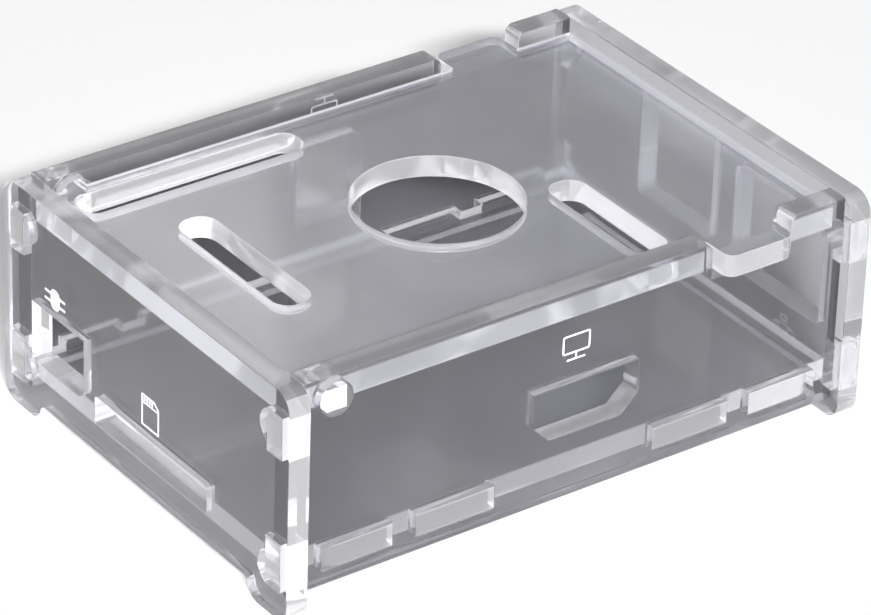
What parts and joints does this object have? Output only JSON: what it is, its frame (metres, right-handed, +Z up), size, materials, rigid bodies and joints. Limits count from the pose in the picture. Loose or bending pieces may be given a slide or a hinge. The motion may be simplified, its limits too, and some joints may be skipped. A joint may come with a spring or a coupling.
{
  "type": "single board computer case",
  "caption": "Clear slot-together sheet case for a credit-card-size single board computer, with a lid that hinges up and openings for ports, card and ribbon cables.",
  "frame": {"origin": "on the table under the middle of the case", "axes": "+X along the case towards the network and socket end, +Y from the display side to the rear, +Z up"},
  "size_m": [0.092, 0.0662, 0.0336],
  "materials": {
    "clear_acrylic": "polished"
  },
  "bodies": {
    "case": {"left_end_panel": "clear_acrylic", "right_end_panel": "clear_acrylic", "front_wall": "clear_acrylic", "rear_wall": "clear_acrylic", "bottom_plate": "clear_acrylic"},
    "lid": {"lid": "clear_acrylic"}
  },
  "joints": [
    {"name": "lid_hinge", "type": "hinge", "parent": "case", "child": "lid", "pos_m": [-0.0378, 0, 0.0299], "axis": [0, -1, 0], "range_deg": [0, 127]}
  ]
}
